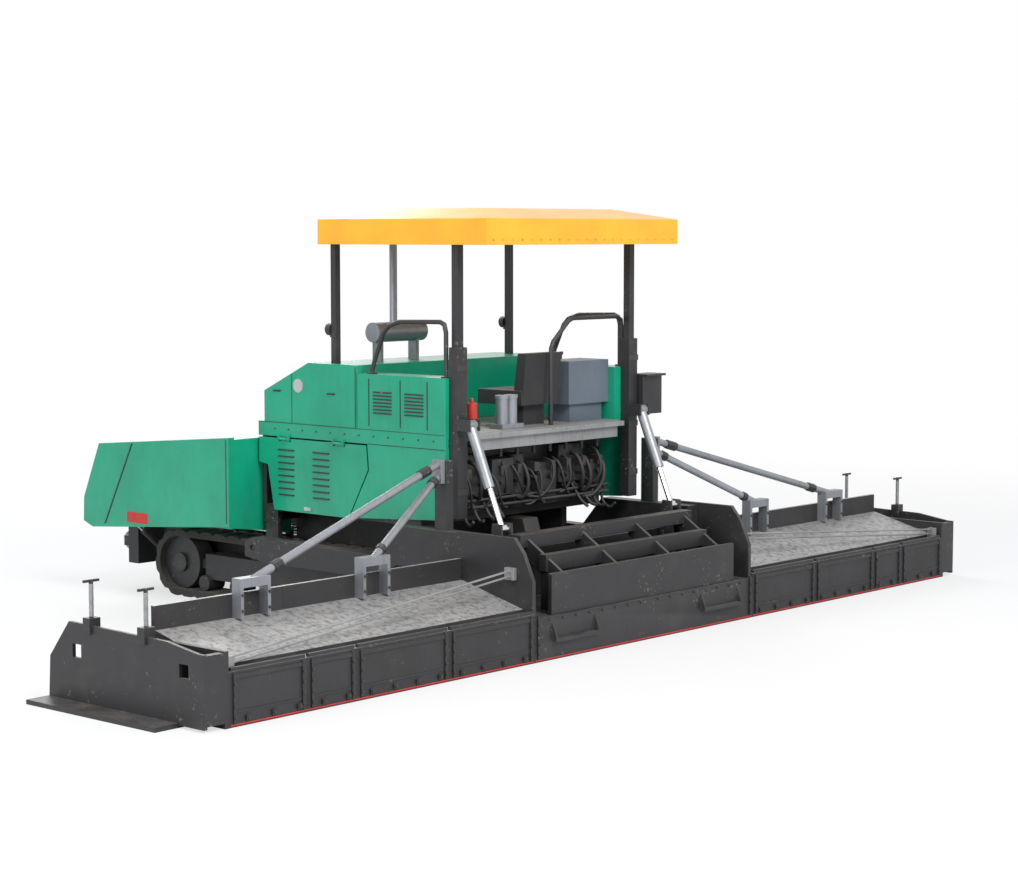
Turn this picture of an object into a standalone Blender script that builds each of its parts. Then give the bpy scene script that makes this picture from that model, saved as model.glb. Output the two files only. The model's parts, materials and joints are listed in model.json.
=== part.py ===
"""Tracked asphalt paver with a wide fixed screed, hopper and canopy. Metres, +Z up, +Y forwards.

Distances along the machine are written from the screed's rear edge and shifted to the row's
origin when a piece is made. Left is -X. Pieces of both sides are made once and mirrored.
"""
import math

import bmesh
import bpy
from mathutils import Vector

# ---- clearances ----
GAP = 0.0003          # between pieces that are bolted or welded together
PLAY = 0.0005         # round a pin, on the radius
SWING = 0.015         # round a door or wing

# ---- tractor ----
ORIGIN_D = 2.95       # the row's origin, forwards of the screed's rear edge
BODY_HALF = 1.25
FRAME_HALF = 0.79
FRAME_WALL = 0.07
FRAME_REAR = 1.60
FRAME_FRONT = 5.45
FRAME_FLOOR = 0.30
DECK_Z = 0.95
DECK_THICK = 0.05
HOPPER_BACK = 3.50
BAND_LOW = 1.63
BAND_TOP = 1.76
BAND_REAR = 1.21
BAND_FRONT = 3.55
BOX_TOP = 2.24
BOX_INNER = 1.00
HOOD_REAR = 2.28
HOOD_TOP = 2.31
HOOD_SKIN = 0.02
DOOR_PIN_X = 1.262
DOOR_PIN_Z = 1.612
DOOR_PIN_R = 0.008

# ---- tracks ----
TRACK_IN = 0.82
TRACK_OUT = 1.14
TRACK_R = 0.32
TRACK_BAND = 0.045
SHOE_HEIGHT = 0.022
SHOE_PITCH = 0.19
TRACK_REAR = 2.02
TRACK_FRONT = 4.85

# ---- hopper ----
WING_PIN_X = 0.80
WING_PIN_Z = 2 * TRACK_R + 0.08
WING_PIN_R = 0.015
WING_OUT = 1.60
WING_REAR = 3.57
WING_CYL_D = 5.30
WING_CYL_BASE = (0.86, 0.32)
WING_CYL_EYE = (1.30, 0.70)

# ---- push beam ----
BEAM_PIN_D = 5.52
BEAM_HALF = 1.00
BEAM_REAR = 5.60
BEAM_FRONT = 5.75
ROLLER_D = 5.86
ROLLER_Z = 0.42
ROLLER_R = 0.09
AXLE_R = 0.025

# ---- augers ----
AUGER_D = 1.30
AUGER_Z = 0.36
AUGER_R = 0.18
AUGER_CORE = 0.05
AUGER_PITCH = 0.40
AUGER_IN = 0.12
AUGER_OUT = 3.32
AUGER_STUB = 0.028

# ---- screed ----
SECTION_ENDS = (1.50, 2.50, 3.50, 4.00, 4.75)
SCREED_DEPTH = 0.90
SCREED_TALL = 0.36
TOW_D = 3.42
TOW_Z = 0.62
TOW_PIN_R = 0.03
ARM_IN = 1.32
MAST_D = 1.10
GATE_OUT = 4.98
SKI_OUT = 5.19
GATE_FRONT = 1.75

# ---- screed lift cylinders ----
LIFT_X = 1.15
LIFT_TOP = (1.02, 1.85)
LIFT_FOOT = (0.66, 1.00)
LIFT_R = 0.045
LIFT_ROD = 0.025
LIFT_PIN_R = 0.02
LIFT_LUG = 0.05       # half the space between the lugs
WING_LUG = 0.035

# ---- canopy ----
CANOPY_HALF = 1.284
CANOPY_REAR = 0.71
CANOPY_FRONT = 2.72
CANOPY_LOW = 3.36
CANOPY_EDGE = 3.58
CANOPY_RIDGE = 3.67
CANOPY_SKIN = 0.025
POST_X = 1.15
POST_FRONT = 2.635
POST_REAR = 1.165
PIPE_X = -0.46
PIPE_D = 2.60

PAINTS = {
    "green": ((0.045, 0.16, 0.105), 0.38, 0.0),
    "orange": ((0.78, 0.33, 0.035), 0.42, 0.0),
    "black": ((0.022, 0.022, 0.024), 0.5, 0.0),
    "steel_dark": ((0.085, 0.085, 0.085), 0.55, 0.6),
    "steel_grey": ((0.33, 0.335, 0.34), 0.5, 0.5),
    "steel_pale": ((0.58, 0.585, 0.59), 0.38, 0.7),
    "track_rubber": ((0.045, 0.043, 0.040), 0.85, 0.0),
    "chrome": ((0.75, 0.76, 0.78), 0.15, 1.0),
    "panel_grey": ((0.30, 0.35, 0.40), 0.55, 0.0),
    "seat": ((0.025, 0.025, 0.027), 0.7, 0.0),
}


def clear_scene():
    """Empty the file of its starting objects."""
    for thing in list(bpy.data.objects):
        bpy.data.objects.remove(thing, do_unlink=True)


def paint(name):
    """One plain Principled material for a piece."""
    colour, rough, metal = PAINTS[name]
    material = bpy.data.materials.new(name)
    material.use_nodes = True
    shader = material.node_tree.nodes["Principled BSDF"]
    shader.inputs["Base Color"].default_value = (*colour, 1.0)
    shader.inputs["Roughness"].default_value = rough
    shader.inputs["Metallic"].default_value = metal
    return material


# ---- simple solids, each a pair of points and faces; d is the distance along the machine ----

def prism(axis, low, high, outline):
    """Extrude an outline of the two other axes, in X, D, Z order, along an axis."""
    points = []
    for along in (low, high):
        for u, v in outline:
            if axis == "X":
                points.append(Vector((along, u, v)))
            elif axis == "D":
                points.append(Vector((u, along, v)))
            else:
                points.append(Vector((u, v, along)))
    count = len(outline)
    faces = [list(range(count)), list(range(2 * count - 1, count - 1, -1))]
    for i in range(count):
        j = (i + 1) % count
        faces.append([i, count + i, count + j, j])
    return points, faces


def box(x0, x1, d0, d1, z0, z1):
    """A box between two corners."""
    return prism("Z", z0, z1, [(x0, d0), (x1, d0), (x1, d1), (x0, d1)])


def ring(centre, along, radius, count):
    """Points of a circle across a direction."""
    side = Vector((0, 0, 1)) if abs(along.z) < 0.9 else Vector((1, 0, 0))
    first = along.cross(side).normalized()
    second = along.cross(first).normalized()
    turns = [2 * math.pi * (k + 0.5) / count for k in range(count)]
    return [centre + radius * (math.cos(t) * first + math.sin(t) * second) for t in turns]


def rod(start, end, radius, count=16):
    """A round bar between two points."""
    start, end = Vector(start), Vector(end)
    along = (end - start).normalized()
    points = ring(start, along, radius, count) + ring(end, along, radius, count)
    faces = [list(range(count)), list(range(2 * count - 1, count - 1, -1))]
    for i in range(count):
        j = (i + 1) % count
        faces.append([i, count + i, count + j, j])
    return points, faces


def bent_tube(path, radius, count=12):
    """A round bar bent along a path, with mitred corners."""
    path = [Vector(p) for p in path]
    along = (path[1] - path[0]).normalized()
    points = ring(path[0], along, radius, count)
    current = points
    for i in range(1, len(path)):
        along = (path[i] - path[i - 1]).normalized()
        if i + 1 < len(path):
            normal = (along + (path[i + 1] - path[i]).normalized()).normalized()
        else:
            normal = along
        moved = []
        for p in current:
            reach = (path[i] - p).dot(normal) / along.dot(normal)
            moved.append(p + reach * along)
        points = points + moved
        current = moved
    faces = [list(range(count)), list(range(len(points) - 1, len(points) - count - 1, -1))]
    for k in range(len(path) - 1):
        for i in range(count):
            j = (i + 1) % count
            faces.append([k * count + i, (k + 1) * count + i, (k + 1) * count + j, k * count + j])
    return points, faces


def to_mesh(solid, side):
    """A mesh of one solid, on the side asked for, facing out."""
    points, faces = solid
    mesh = bpy.data.meshes.new("solid")
    mesh.from_pydata([(side * p.x, p.y - ORIGIN_D, p.z) for p in points], [], faces)
    shape = bmesh.new()
    shape.from_mesh(mesh)
    bmesh.ops.recalc_face_normals(shape, faces=shape.faces)
    shape.to_mesh(mesh)
    shape.free()
    return mesh


def combine(first, second, operation):
    """Join a second mesh to the first, or cut it away."""
    body = bpy.data.objects.new("body", first)
    tool = bpy.data.objects.new("tool", second)
    for thing in (body, tool):
        bpy.context.scene.collection.objects.link(thing)
    step = body.modifiers.new("combine", "BOOLEAN")
    step.operation = operation
    step.solver = "EXACT"
    step.object = tool
    seen = body.evaluated_get(bpy.context.evaluated_depsgraph_get())
    result = bpy.data.meshes.new_from_object(seen)
    for thing in (body, tool):
        bpy.data.objects.remove(thing, do_unlink=True)
    for mesh in (first, second):
        bpy.data.meshes.remove(mesh)
    return result


def piece(name, colour, solids, cuts=(), side=1, origin=(0.0, ORIGIN_D, 0.0)):
    """One closed piece: solids joined, cuts taken away, its origin at a point of the machine."""
    mesh = to_mesh(solids[0], side)
    for solid in solids[1:]:
        mesh = combine(mesh, to_mesh(solid, side), "UNION")
    for solid in cuts:
        mesh = combine(mesh, to_mesh(solid, side), "DIFFERENCE")
    place = Vector((side * origin[0], origin[1] - ORIGIN_D, origin[2]))
    shape = bmesh.new()
    shape.from_mesh(mesh)
    bmesh.ops.remove_doubles(shape, verts=shape.verts, dist=0.00001)
    bmesh.ops.translate(shape, verts=shape.verts, vec=-place)
    shape.to_mesh(mesh)
    shape.free()
    mesh.name = name
    mesh.shade_smooth()
    mesh.set_sharp_from_angle(angle=math.radians(38))
    mesh.materials.clear()
    mesh.materials.append(paint(colour))
    thing = bpy.data.objects.new(name, mesh)
    thing.location = place
    bpy.context.scene.collection.objects.link(thing)
    return thing


def side_name(side):
    return "left" if side < 0 else "right"


# ---- tractor ----

def main_frame():
    """Chassis: trough for the conveyor, engine deck, bulkheads, tow points and lugs."""
    inner = FRAME_HALF - FRAME_WALL
    low = WING_PIN_Z - 0.06
    solids = [box(-FRAME_HALF, FRAME_HALF, FRAME_REAR, FRAME_FRONT, FRAME_FLOOR, FRAME_FLOOR + 0.06)]
    for s in (-1, 1):
        web = [(FRAME_REAR, FRAME_FLOOR), (FRAME_FRONT, FRAME_FLOOR), (FRAME_FRONT, low),
               (HOPPER_BACK + 0.05, low), (HOPPER_BACK + 0.05, DECK_Z + 0.02), (FRAME_REAR, DECK_Z + 0.02)]
        solids.append(prism("X", s * inner, s * FRAME_HALF, web))
    half = BODY_HALF - 0.05
    solids.append(box(-half, half, FRAME_REAR, HOPPER_BACK + 0.02, DECK_Z, DECK_Z + DECK_THICK))
    solids.append(box(-half, half, HOPPER_BACK, HOPPER_BACK + 0.05, DECK_Z - 0.12,
                      BAND_LOW + 0.09 - GAP))
    solids.append(box(-half, half, FRAME_REAR - 0.05, FRAME_REAR + 0.02, DECK_Z, BAND_LOW + 0.07 - GAP))
    solids.append(box(-inner - 0.02, inner + 0.02, FRAME_FRONT - 0.05, FRAME_FRONT, FRAME_FLOOR, low - 0.1))
    for z in (ROLLER_Z - 0.09, ROLLER_Z + 0.04):
        solids.append(box(-0.07, 0.07, FRAME_FRONT - 0.02, BEAM_PIN_D + 0.05, z, z + 0.03))
    solids.append(rod((0, BEAM_PIN_D, ROLLER_Z - 0.08), (0, BEAM_PIN_D, ROLLER_Z + 0.06), 0.02, 24))
    for s in (-1, 1):
        tow = s * (TRACK_OUT + 0.02)
        solids.append(box(tow, s * (BODY_HALF - 0.035), TOW_D - 0.08, TOW_D + 0.08, TOW_Z - 0.09, DECK_Z + 0.03))
        solids.append(rod((tow, TOW_D, TOW_Z), (s * (ARM_IN + 0.125), TOW_D, TOW_Z), TOW_PIN_R, 24))
        solids.append(rod((s * WING_PIN_X, WING_REAR + 0.05, WING_PIN_Z),
                          (s * WING_PIN_X, FRAME_FRONT - 0.05, WING_PIN_Z), WING_PIN_R, 24))
        for d in (WING_REAR + 0.05, 4.47, FRAME_FRONT - 0.10):
            lug = [(FRAME_HALF - 0.03, low - 0.03), (FRAME_HALF - 0.005, low - 0.03),
                   (WING_PIN_X + 0.022, low + 0.01), (WING_PIN_X + 0.022, WING_PIN_Z + 0.022),
                   (FRAME_HALF - 0.03, WING_PIN_Z + 0.022)]
            solids.append(prism("D", d, d + 0.05, [(s * u, v) for u, v in lug]))
        x, z = WING_CYL_BASE
        for d in (WING_CYL_D - WING_LUG - 0.025, WING_CYL_D + WING_LUG):
            solids.append(box(s * (FRAME_HALF - 0.02), s * (x + 0.035), d, d + 0.025, z - 0.035, z + 0.035))
        solids.append(rod((s * x, WING_CYL_D - 0.05, z), (s * x, WING_CYL_D + 0.05, z), LIFT_PIN_R, 24))
    piece("main_frame", "black", solids)


def track_loop(radius, count_end, count_run):
    """Points round a track at one radius: bottom run, front end, top run, rear end."""
    points = []
    run = TRACK_FRONT - TRACK_REAR
    for k in range(count_run):
        points.append((TRACK_REAR + run * k / count_run, TRACK_R - radius))
    for k in range(count_end):
        turn = -math.pi / 2 + math.pi * k / count_end
        points.append((TRACK_FRONT + radius * math.cos(turn), TRACK_R + radius * math.sin(turn)))
    for k in range(count_run):
        points.append((TRACK_FRONT - run * k / count_run, TRACK_R + radius))
    for k in range(count_end):
        turn = math.pi / 2 + math.pi * k / count_end
        points.append((TRACK_REAR + radius * math.cos(turn), TRACK_R + radius * math.sin(turn)))
    return points


def track(side):
    """One track: a closed band with its shoes standing out of it."""
    shoes_run = round((TRACK_FRONT - TRACK_REAR) / SHOE_PITCH)
    shoes_end = max(4, round(math.pi * TRACK_R / SHOE_PITCH))
    count_run, count_end = 4 * shoes_run, 4 * shoes_end
    high = track_loop(TRACK_R, count_end, count_run)
    low = track_loop(TRACK_R - SHOE_HEIGHT, count_end, count_run)
    inner = track_loop(TRACK_R - SHOE_HEIGHT - TRACK_BAND, count_end, count_run)
    outer = [high[i] if i % 4 in (0, 1, 2) else low[i] for i in range(len(high))]
    count = len(outer)
    points = []
    for x in (TRACK_IN, TRACK_OUT):
        points += [Vector((x, d, z)) for d, z in outer]
        points += [Vector((x, d, z)) for d, z in inner]
    faces = []
    for i in range(count):
        j = (i + 1) % count
        faces.append([i, j, 2 * count + j, 2 * count + i])
        faces.append([count + j, count + i, 3 * count + i, 3 * count + j])
        faces.append([j, i, count + i, count + j])
        faces.append([2 * count + i, 2 * count + j, 3 * count + j, 3 * count + i])
    piece("track_" + side_name(side), "track_rubber", [(points, faces)], side=side)


def track_frame(side):
    """Beam inside the track with its sprocket, idler and rollers."""
    wheel = TRACK_R - SHOE_HEIGHT - TRACK_BAND - GAP - 0.0006
    mid = (TRACK_IN + TRACK_OUT) / 2
    solids = [box(FRAME_HALF + GAP, mid + 0.06, TRACK_REAR + 0.30, TRACK_FRONT - 0.30, TRACK_R - 0.14,
                  TRACK_R + 0.10)]
    solids.append(box(mid - 0.05, mid + 0.05, TRACK_REAR, TRACK_FRONT, TRACK_R - 0.045, TRACK_R + 0.045))
    for d in (TRACK_REAR, TRACK_FRONT):
        solids.append(rod((mid - 0.09, d, TRACK_R), (mid + 0.09, d, TRACK_R), wheel, 40))
        solids.append(rod((mid - 0.11, d, TRACK_R), (mid + 0.125, d, TRACK_R), 0.09, 20))
    low = TRACK_R - wheel + 0.075
    rollers = 6
    span = TRACK_FRONT - TRACK_REAR - 0.64
    for k in range(rollers):
        d = TRACK_REAR + 0.32 + span * k / (rollers - 1)
        solids.append(rod((mid - 0.10, d, low), (mid + 0.10, d, low), 0.075, 20))
    for k in (1, 2):
        d = TRACK_REAR + (TRACK_FRONT - TRACK_REAR) * k / 3
        solids.append(rod((mid - 0.08, d, TRACK_R + wheel - 0.06), (mid + 0.08, d, TRACK_R + wheel - 0.06),
                          0.06, 20))
        solids.append(box(mid - 0.03, mid + 0.03, d - 0.03, d + 0.03, TRACK_R, TRACK_R + wheel - 0.06))
    piece("track_frame_" + side_name(side), "black", solids, side=side)


def door_outline():
    """Side view of a lower engine door."""
    return [(2.165, BAND_LOW - SWING), (BAND_FRONT - 0.005, BAND_LOW - SWING), (BAND_FRONT - 0.005, 1.385),
            (3.43, 1.37), (3.35, 0.96), (2.39, 0.96), (2.145, 1.40)]


def engine_door(side):
    """Top hinged side door of the engine room."""
    solids = [prism("X", BODY_HALF - 0.025, BODY_HALF, door_outline())]
    cuts = []
    for d in (2.45, 3.15):
        solids.append(rod((DOOR_PIN_X, d, DOOR_PIN_Z), (DOOR_PIN_X, d + 0.10, DOOR_PIN_Z), 0.0145, 16))
        cuts.append(rod((DOOR_PIN_X, d - 0.01, DOOR_PIN_Z), (DOOR_PIN_X, d + 0.11, DOOR_PIN_Z),
                        DOOR_PIN_R + PLAY, 24))
        for lug in (d - 0.027, d + 0.10):
            cuts.append(box(BODY_HALF - 0.05, DOOR_PIN_X + 0.05, lug, lug + 0.027, DOOR_PIN_Z - 0.024, BAND_LOW))
    piece("engine_door_" + side_name(side), "green", solids, cuts, side, (DOOR_PIN_X, 2.80, DOOR_PIN_Z))


def side_body(side):
    """Fixed side: band over the door, rear lower panel, upper rear box and the door's hinge pins."""
    band = BODY_HALF - 0.25
    solids = [box(band, BODY_HALF, BAND_REAR, BAND_FRONT, BAND_LOW + 0.09, BAND_TOP)]
    solids.append(box(BODY_HALF - 0.035, BODY_HALF, BAND_REAR, BAND_FRONT, BAND_LOW, BAND_TOP))
    solids.append(box(BOX_INNER, BODY_HALF, BAND_REAR, HOOD_REAR - 0.01, BAND_TOP - 0.02, BOX_TOP))
    panel = [(BAND_REAR, BAND_LOW + 0.02), (2.150, BAND_LOW + 0.02), (2.128, 1.40), (2.373, 0.965), (1.28, 1.03),
             (BAND_REAR, 1.25)]
    solids.append(prism("X", BODY_HALF - 0.0497, BODY_HALF, panel))
    for d in (2.45, 3.15):
        for lug in (d - 0.021, d + 0.106):
            solids.append(box(BODY_HALF + 0.001, DOOR_PIN_X + 0.013, lug, lug + 0.015, DOOR_PIN_Z - 0.012,
                              BAND_LOW + 0.02))
            solids.append(box(BODY_HALF - 0.012, DOOR_PIN_X, lug, lug + 0.015, BAND_LOW, BAND_LOW + 0.02))
        solids.append(rod((DOOR_PIN_X, d - 0.015, DOOR_PIN_Z), (DOOR_PIN_X, d + 0.115, DOOR_PIN_Z),
                          DOOR_PIN_R, 24))
    piece("side_body_" + side_name(side), "green", solids, side=side)


def hood():
    """Upper engine hood, a folded shell open below."""
    low = BAND_TOP + GAP
    outer = [(HOOD_REAR, low), (HOOD_REAR, HOOD_TOP), (2.89, HOOD_TOP), (3.47, 2.04), (3.47, low)]
    t = HOOD_SKIN
    inner = [(HOOD_REAR + t, low - 0.1), (HOOD_REAR + t, HOOD_TOP - t), (2.89 - 0.2 * t, HOOD_TOP - t),
             (3.47 - t, 2.04 - 0.7 * t), (3.47 - t, low - 0.1)]
    piece("hood", "green", [prism("X", -BODY_HALF, BODY_HALF, outer)],
          [prism("X", -BODY_HALF + t, BODY_HALF - t, inner)])


def engine_block():
    low = DECK_Z + DECK_THICK + GAP
    piece("engine_block", "steel_dark", [box(-0.45, 0.45, 2.40, 3.30, low, low + 0.95)])


def platform():
    """Operator floor between the side boxes, with a bumper bar at its rear edge."""
    low = BAND_LOW + 0.07
    half = BOX_INNER - GAP
    solids = [box(-half, half, 1.15, HOOD_REAR - 0.01, low, BAND_TOP)]
    solids.append(box(-half, half, 1.09, 1.17, low + 0.01, BAND_TOP - 0.005))
    solids.append(box(-half + 0.05, half - 0.05, 1.13, 1.17, low - 0.09, low + 0.02))
    piece("platform", "steel_grey", solids)


def console():
    """Operator console on the right, with its raised control panel."""
    low = BAND_TOP + GAP
    solids = [box(0.44, BOX_INNER - GAP, 1.28, 1.62, low + 0.16, 2.31)]
    solids.append(box(0.50, BOX_INNER - 0.05, 1.32, 1.58, low, low + 0.20))
    solids.append(prism("X", 0.50, BOX_INNER - 0.06, [(1.60, 2.05), (1.60, 2.29), (1.90, 2.20), (1.90, 2.12)]))
    piece("console", "panel_grey", solids)


def seat():
    """Operator seat: pedestal, cushion, back and arm rest."""
    low = BAND_TOP + GAP
    solids = [box(-0.02, 0.26, 1.42, 1.72, low, low + 0.20)]
    solids.append(box(-0.14, 0.38, 1.34, 1.86, low + 0.18, low + 0.31))
    solids.append(prism("X", -0.12, 0.36, [(1.34, 1.98), (1.30, 2.40), (1.40, 2.40), (1.46, 1.98)]))
    piece("seat", "seat", solids)


def control_box():
    """Screed operator's box outside the right rear column."""
    inner = LIFT_X + LIFT_LUG + 0.02 + GAP
    solids = [box(inner, inner + 0.28, 1.05, BAND_REAR - 0.01, 1.80, 2.16)]
    solids.append(box(inner, inner + 0.28, 1.00, BAND_REAR - 0.01, 2.15, 2.17))
    piece("control_box", "black", solids)


def canopy():
    """Roof: a deep tray turned over, its top rising to a flat ridge, with a hole for the exhaust."""
    h, r, f = CANOPY_HALF, CANOPY_REAR, CANOPY_FRONT
    t = CANOPY_SKIN

    def tray(e, low, edge, ridge):
        mid = 0.42
        points = [Vector((x, d, low)) for x, d in ((e - h, r + e), (h - e, r + e), (h - e, f - e), (e - h, f - e))]
        points += [Vector((p.x, p.y, edge)) for p in points[:4]]
        points += [Vector((x, d, ridge)) for x, d in ((mid - h, r + mid), (h - mid, r + mid), (h - mid, f - mid),
                                                      (mid - h, f - mid))]
        faces = [[3, 2, 1, 0], [8, 9, 10, 11]]
        for k in (0, 4):
            for i in range(4):
                j = (i + 1) % 4
                faces.append([k + i, k + j, k + 4 + j, k + 4 + i])
        return points, faces

    hole = 0.035 + PLAY
    piece("canopy", "orange", [tray(0, CANOPY_LOW, CANOPY_EDGE, CANOPY_RIDGE)],
          [tray(t, CANOPY_LOW - 0.1, CANOPY_EDGE - t, CANOPY_RIDGE - t),
           rod((PIPE_X, PIPE_D, 3.4), (PIPE_X, PIPE_D, 3.8), hole, 24)])


def canopy_frame(side):
    """Front post, rear column and top rail of one side, with the lift cylinder's lugs."""
    top = CANOPY_EDGE - CANOPY_SKIN - GAP
    solids = [box(POST_X - 0.03, POST_X + 0.03, POST_FRONT - 0.03, POST_FRONT + 0.03, HOOD_TOP + GAP, top)]
    solids.append(box(POST_X - 0.035, POST_X + 0.035, POST_REAR - 0.035, POST_REAR + 0.035, 2.40, top))
    solids.append(box(POST_X - 0.06, POST_X + 0.06, 1.11, BAND_REAR - GAP, 1.05, 2.50))
    solids.append(box(POST_X - 0.03, POST_X + 0.03, POST_REAR, POST_FRONT, top - 0.08, top))
    d, z = LIFT_TOP
    for x in (LIFT_X - LIFT_LUG - 0.02, LIFT_X + LIFT_LUG):
        solids.append(box(x, x + 0.02, d - 0.05, 1.13, z - 0.05, z + 0.05))
    reach = LIFT_LUG + 0.01
    solids.append(rod((LIFT_X - reach, d, z), (LIFT_X + reach, d, z), LIFT_PIN_R, 24))
    piece("canopy_frame_" + side_name(side), "black", solids, side=side)


def handrail(side):
    """Side rail of the platform."""
    x, low = 1.20, BOX_TOP + GAP
    rear = 1.25 if side < 0 else 1.31
    path = [(x, 2.13, low), (x, 2.13, low + 0.03), (x, 2.10, 2.36), (x, 1.99, 2.60), (x, 1.93, 2.66), (x, 1.80, 2.70),
            (x, rear + 0.07, 2.71), (x, rear + 0.02, 2.69), (x, rear, 2.62), (x, rear, low)]
    solids = [bent_tube(path, 0.02, 12)]
    for d in (2.13, rear):
        solids.append(box(x - 0.035, x + 0.035, d - 0.03, d + 0.03, low, low + 0.012))
    piece("handrail_" + side_name(side), "black", solids, side=side)


def handrail_rear():
    """Rear rail behind the console."""
    d, low = 1.235, BAND_TOP + GAP
    path = [(0.14, d, low), (0.14, d, 2.44), (0.17, d, 2.50), (0.38, d, 2.68), (0.44, d, 2.70), (1.05, d, 2.70),
            (1.12, d, 2.67), (1.13, d, 2.60), (1.13, d, BOX_TOP + GAP)]
    piece("handrail_rear", "black", [bent_tube(path, 0.02, 12)])


def exhaust():
    """Muffler on two stands, with its pipe up through the canopy."""
    z = 2.57
    solids = [rod((-0.73, PIPE_D, z), (-0.10, PIPE_D, z), 0.09, 24)]
    for x in (-0.66, -0.20):
        solids.append(box(x - 0.02, x + 0.02, PIPE_D - 0.05, PIPE_D + 0.05, HOOD_TOP + GAP, z - 0.05))
    solids.append(bent_tube([(PIPE_X, PIPE_D, z), (PIPE_X, PIPE_D, CANOPY_RIDGE - 0.06)], 0.035, 24))
    piece("exhaust", "steel_pale", solids, [rod((PIPE_X, PIPE_D, 2.9), (PIPE_X, PIPE_D, 3.8), 0.031, 24)])


def auger_gearbox():
    """Drive housing of both augers, hung from the rear of the frame."""
    wide = AUGER_IN - 0.02
    solids = [prism("X", -wide, wide, [(AUGER_D - 0.09, AUGER_Z - 0.10), (AUGER_D + 0.10, AUGER_Z - 0.10),
                                       (FRAME_REAR - GAP, AUGER_Z), (FRAME_REAR - GAP, DECK_Z - 0.02),
                                       (AUGER_D + 0.06, DECK_Z - 0.02), (AUGER_D - 0.09, AUGER_Z + 0.12)])]
    solids.append(rod((-wide - 0.10, AUGER_D, AUGER_Z), (wide + 0.10, AUGER_D, AUGER_Z), AUGER_STUB, 24))
    solids.append(box(-inner_half() + 0.02, inner_half() - 0.02, FRAME_REAR - 0.055, FRAME_REAR - GAP - 0.001,
                      FRAME_FLOOR + 0.02, FRAME_FLOOR + 0.08))
    piece("auger_gearbox", "steel_dark", solids)


def inner_half():
    """Half the width inside the frame's trough."""
    return FRAME_HALF - FRAME_WALL


def auger(side):
    """One auger: a shaft with a helical flight, bored at its inner end for the drive stub."""
    start, end = AUGER_IN, AUGER_OUT
    solids = [rod((start, AUGER_D, AUGER_Z), (end, AUGER_D, AUGER_Z), AUGER_CORE, 12)]
    steps = 12
    length = end - start - 0.08
    count = int(length / AUGER_PITCH * steps)
    points = []
    faces = []
    for k in range(count + 1):
        turn = 2 * math.pi * k / steps
        x = start + 0.03 + AUGER_PITCH * k / steps
        c, s = math.cos(turn), math.sin(turn)
        for r, dx in ((0.035, 0), (AUGER_R, 0), (AUGER_R, 0.016), (0.035, 0.016)):
            points.append(Vector((x + dx, AUGER_D + r * c, AUGER_Z + r * s)))
    for k in range(count):
        for i in range(4):
            j = (i + 1) % 4
            faces.append([4 * k + i, 4 * k + 4 + i, 4 * k + 4 + j, 4 * k + j])
    faces.append([3, 2, 1, 0])
    faces.append([4 * count, 4 * count + 1, 4 * count + 2, 4 * count + 3])
    solids.append((points, faces))
    cuts = [rod((start - 0.05, AUGER_D, AUGER_Z), (start + 0.11, AUGER_D, AUGER_Z), AUGER_STUB + PLAY, 24)]
    piece("auger_" + side_name(side), "steel_dark", solids, cuts, side, (start, AUGER_D, AUGER_Z))


def rear_machinery():
    """Pumps, valve blocks and tanks on the rear bulkhead."""
    face = FRAME_REAR - 0.05 - GAP
    solids = [box(-1.05, 1.05, face - 0.05, face, 1.02, 1.60)]
    blocks = ((-0.92, -0.66, 0.16, 1.10, 1.55), (-0.58, -0.30, 0.22, 1.18, 1.50), (0.05, 0.30, 0.20, 1.05, 1.42),
              (0.38, 0.72, 0.16, 1.22, 1.56), (0.78, 0.98, 0.20, 1.08, 1.40))
    for x0, x1, deep, z0, z1 in blocks:
        solids.append(box(x0, x1, face - 0.04 - deep, face - 0.02, z0, z1))
    solids.append(rod((-0.16, face - 0.14, 1.12), (-0.16, face - 0.14, 1.52), 0.09, 20))
    solids.append(box(-0.20, -0.12, face - 0.12, face - 0.02, 1.20, 1.44))
    piece("rear_machinery", "black", solids)


def conveyor():
    """Floor and slats of the conveyor that runs from the hopper to the augers."""
    half = inner_half() - 0.02
    low = FRAME_FLOOR + 0.06 + GAP
    rear, front = FRAME_REAR + 0.04, FRAME_FRONT - 0.08
    count = 22
    pitch = (front - rear - 0.04) / count
    outline = [(rear, low), (front, low), (front, low + 0.10)]
    for k in range(count - 1, -1, -1):
        d = rear + 0.02 + pitch * k
        outline += [(d + 0.04, low + 0.10), (d + 0.04, low + 0.13), (d, low + 0.13), (d, low + 0.10)]
    outline.append((rear, low + 0.10))
    piece("conveyor", "steel_dark", [prism("X", -half, half, outline)])


# ---- cylinders ----

def along(start, end, reach):
    """A point on the way from start to end."""
    start, end = Vector(start), Vector(end)
    return start + (end - start).normalized() * reach


def cylinder(names, colours, side, pin, foot, body, gauge):
    """Barrel and rod of one cylinder, from its pin to its foot; body is the barrel's length."""
    pin, foot = Vector(pin), Vector(foot)
    out_r, rod_r, eye_w = gauge
    flat = Vector((1, 0, 0)) if abs(pin.x - foot.x) < 0.001 else Vector((0, 1, 0))
    length = (foot - pin).length
    solids = [rod(pin - flat * eye_w / 2, pin + flat * eye_w / 2, out_r, 24)]
    solids.append(rod(along(pin, foot, 0.03), along(pin, foot, body), out_r, 24))
    cuts = [rod(pin - flat * eye_w, pin + flat * eye_w, LIFT_PIN_R + PLAY, 24)]
    cuts.append(rod(along(pin, foot, out_r + 0.012), along(pin, foot, body + 0.05), rod_r + PLAY, 24))
    piece(names[0] + side_name(side), colours[0], solids, cuts, side, pin)
    inner = 0.57 * body
    solids = [rod(along(pin, foot, inner), along(pin, foot, length - 0.01), rod_r, 24)]
    solids.append(rod(foot - flat * eye_w / 2, foot + flat * eye_w / 2, out_r * 0.9, 24))
    piece(names[1] + side_name(side), colours[1], solids, (), side, foot)


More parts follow.
